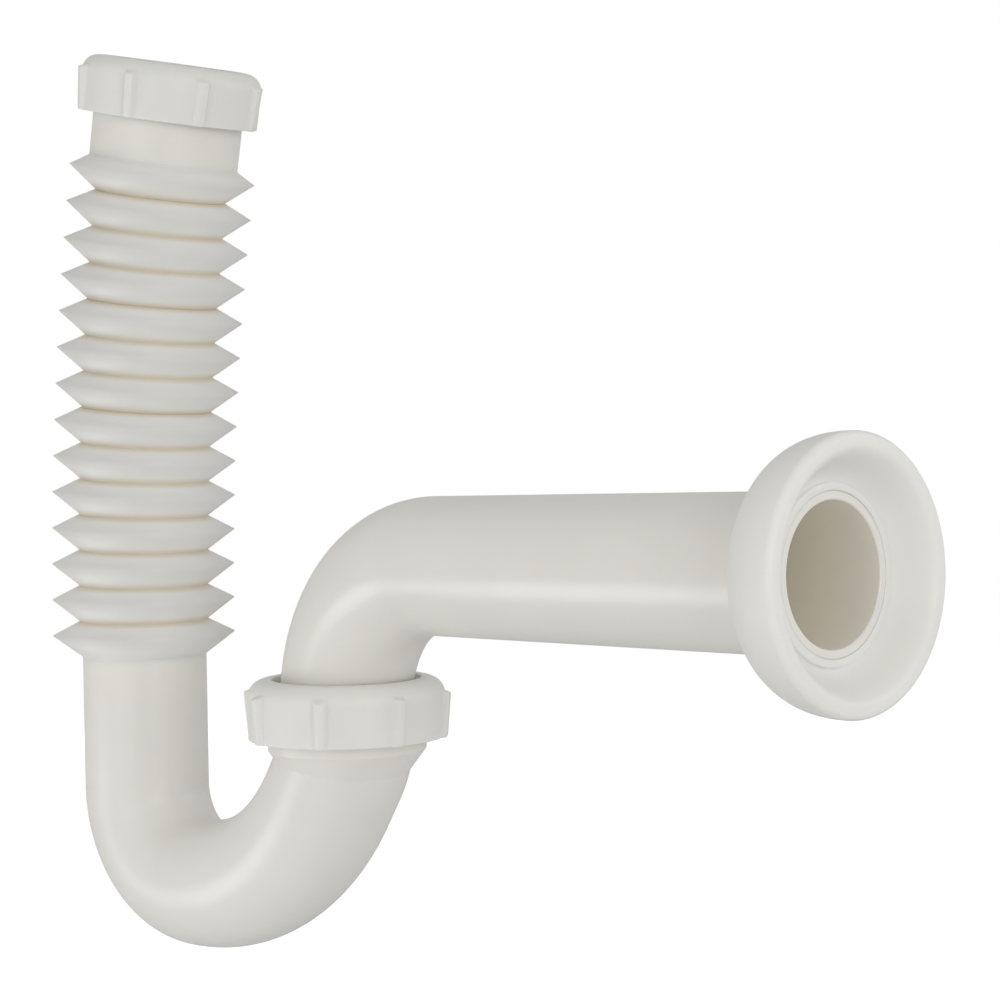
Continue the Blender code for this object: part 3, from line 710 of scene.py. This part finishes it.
# %% Wall flange
FLANGE_RADIUS = 0.0340
FLANGE_BORE = 0.02003
FLANGE_WALL = 0.0019
FLANGE_BACK = 0.0105
FLANGE_FRONT = 0.0082
FLANGE_LIP = 0.0018
FLANGE_LAND = 0.0016
FLANGE_DOME_SHARE = 0.83
FLANGE_DISH_FLOOR = 0.0010
FLANGE_COLLAR_LEAD = 0.0001
FLANGE_COLLAR_WALL = 0.0020
FLANGE_DISH_EASE = 0.0004
FLANGE_FOOT_ROUND = 0.0002
FLANGE_RING_ROUND = 0.0007
FLANGE_BORE_ROUND = 0.0003
FLANGE_DOME_STEPS = 24
FLANGE_LIP_STEPS = 10
FLANGE_DISH_STEPS = 28
FLANGE_AROUND = 192

flange_place = Matrix.Rotation(QUARTER, 4, "Y")
back = (FLANGE_BORE + FLANGE_WALL, -FLANGE_BACK)
lip = (FLANGE_RADIUS - FLANGE_LIP, FLANGE_FRONT - FLANGE_LIP)
dome = []
for i in range(FLANGE_DOME_STEPS):
    t = QUARTER * i / FLANGE_DOME_STEPS
    rise = math.sin(t) ** FLANGE_DOME_SHARE
    ahead = 1 - math.cos(t) ** FLANGE_DOME_SHARE
    dome.append((back[0] + (FLANGE_RADIUS - back[0]) * rise, back[1] + (lip[1] - back[1]) * ahead))
lip_edge = []
for i in range(FLANGE_LIP_STEPS + 1):
    t = QUARTER * i / FLANGE_LIP_STEPS
    lip_edge.append((lip[0] + FLANGE_LIP * math.cos(t), lip[1] + FLANGE_LIP * math.sin(t)))
land = lip[0] - FLANGE_LAND
dish_foot = FLANGE_BORE + FLANGE_COLLAR_WALL + FLANGE_DISH_EASE
dish = []
for i in range(FLANGE_DISH_STEPS + 1):
    share = i / FLANGE_DISH_STEPS
    height = -FLANGE_DISH_FLOOR + (FLANGE_FRONT + FLANGE_DISH_FLOOR) * (1 + math.cos(math.pi * share)) / 2
    dish.append((land + (dish_foot - land) * share, height))
ring_edge = softened(
    [
        (dish_foot, -FLANGE_DISH_FLOOR, 0),
        (FLANGE_BORE + FLANGE_COLLAR_WALL, -FLANGE_DISH_FLOOR, FLANGE_FOOT_ROUND),
        (FLANGE_BORE + FLANGE_COLLAR_WALL, FLANGE_COLLAR_LEAD, FLANGE_RING_ROUND),
        (FLANGE_BORE, FLANGE_COLLAR_LEAD, FLANGE_BORE_ROUND),
        (FLANGE_BORE, -FLANGE_BACK, FLANGE_BORE_ROUND),
    ],
    4,
)
flange = turned("sliding_wall_flange", dome + lip_edge + dish + ring_edge[1:], FLANGE_AROUND, flange_place)
place_piece(flange, flange_plastic, "flange_white", "flange", "wall_flange")
print("flange faces:", len(flange.data.polygons))

# %% [markdown]
# Inside each nut sit a plain slip ring and a cone washer. They show only through a nut's hole, so they keep
# the model's own solids and get their finishes.

# %% Slip rings and washers
for name in ("outlet_slip_ring", "inlet_slip_ring"):
    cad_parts[name].data.materials.clear()
    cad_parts[name].data.materials.append(ring_plastic)
for name in ("outlet_washer", "inlet_washer"):
    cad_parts[name].data.materials.clear()
    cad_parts[name].data.materials.append(washer_rubber)
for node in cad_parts.values():
    node.data.shade_smooth()
    node.data.set_sharp_from_angle(angle=MODEL_CREASE)

# %% [markdown]
# The studio. The trap hangs from its wall pipe, so the floor lies well below it and only takes its shadow.
# A soft light low on the left makes the pipe brightest below its middle. Three more, from the right, the
# front and the back, and a pale surround keep the shaded sides open.

# %% Floor and surround
FLOOR_SIZE = 6
FLOOR_DROP = 0.30
PAPER_GREY = (0.74, 0.74, 0.74, 1)
PAPER_GLOW = (0.70, 0.70, 0.70, 1)
PAPER_ROUGHNESS = 0.9
SURROUND_COLOUR = (1.0, 0.995, 0.985, 1)
SURROUND_STRENGTH = 0.55
WHITE = (1, 1, 1, 1)

low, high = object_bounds()
bpy.ops.mesh.primitive_plane_add(size=FLOOR_SIZE, location=(0, 0, low.z - FLOOR_DROP))
floor = bpy.context.object
floor.name = "studio_floor"
paper = bpy.data.materials.new("studio paper")
paper.use_nodes = True
tree = paper.node_tree
shader = tree.nodes["Principled BSDF"]
shader.inputs["Base Color"].default_value = PAPER_GREY
shader.inputs["Roughness"].default_value = PAPER_ROUGHNESS
seen = tree.nodes.new("ShaderNodeLightPath")
tree.links.new(seen.outputs["Is Camera Ray"], shader.inputs["Emission Strength"])
shader.inputs["Emission Color"].default_value = PAPER_GLOW
floor.data.materials.append(paper)

world = bpy.data.worlds.new("studio")
bpy.context.scene.world = world
world.use_nodes = True
tree = world.node_tree
ambient = tree.nodes["Background"]
ambient.inputs["Color"].default_value = SURROUND_COLOUR
ambient.inputs["Strength"].default_value = SURROUND_STRENGTH
white = tree.nodes.new("ShaderNodeBackground")
white.inputs["Color"].default_value = WHITE
path = tree.nodes.new("ShaderNodeLightPath")
choose = tree.nodes.new("ShaderNodeMixShader")
tree.links.new(path.outputs["Is Camera Ray"], choose.inputs[0])
tree.links.new(ambient.outputs[0], choose.inputs[1])
tree.links.new(white.outputs[0], choose.inputs[2])
tree.links.new(choose.outputs[0], tree.nodes["World Output"].inputs["Surface"])


def softbox(name, place, aim, size, power):
    """A round soft light that the camera doesn't see."""
    light = bpy.data.lights.new(name, "AREA")
    light.shape = "DISK"
    light.size = size
    light.energy = power
    lamp = bpy.data.objects.new(name, light)
    lamp.location = place
    lamp.visible_camera = False
    lamp.rotation_euler = (Vector(aim) - Vector(place)).to_track_quat("-Z", "Y").to_euler()
    bpy.context.scene.collection.objects.link(lamp)
    return lamp


middle = (low + high) / 2
# Each softbox: its name, its place, the size of its disc and its power.
SOFTBOXES = [
    ("low left softbox", (-0.62, -0.52, -0.30), 0.28, 0.85),
    ("right softbox", (0.85, -0.30, 0.12), 0.6, 2.4),
    ("front softbox", (0.05, -1.0, 0.05), 0.7, 1.3),
    ("back right softbox", (0.55, 0.95, 0.30), 0.6, 1.2),
]
for name, place, size, power in SOFTBOXES:
    softbox(name, place, middle, size, power)

# %% [markdown]
# The camera looks at the trap as the photograph does: from the front right, level with the pipe, and slightly
# turned about its own axis.

# %% Camera at the photograph's place
CAMERA_PLACE = (0.307350, -0.393029, 0.025913)
CAMERA_AHEAD = (-0.732373, 0.680788, -0.012569)
CAMERA_RIGHT = (0.680851, 0.731963, -0.025925)
SENSOR_WIDTH = 36
LENS = 75.17
NEAREST = 0.01

camera = bpy.data.objects.new("camera", bpy.data.cameras.new("camera"))
bpy.context.scene.collection.objects.link(camera)
camera.data.sensor_width = SENSOR_WIDTH
camera.data.lens = LENS
camera.data.clip_start = NEAREST
ahead = Vector(CAMERA_AHEAD)
right = Vector(CAMERA_RIGHT)
up = right.cross(ahead)
turn = Matrix((right, up, -ahead)).transposed().to_4x4()
camera.matrix_world = Matrix.Translation(CAMERA_PLACE) @ turn
bpy.context.scene.camera = camera
bpy.context.scene.view_settings.view_transform = "Standard"
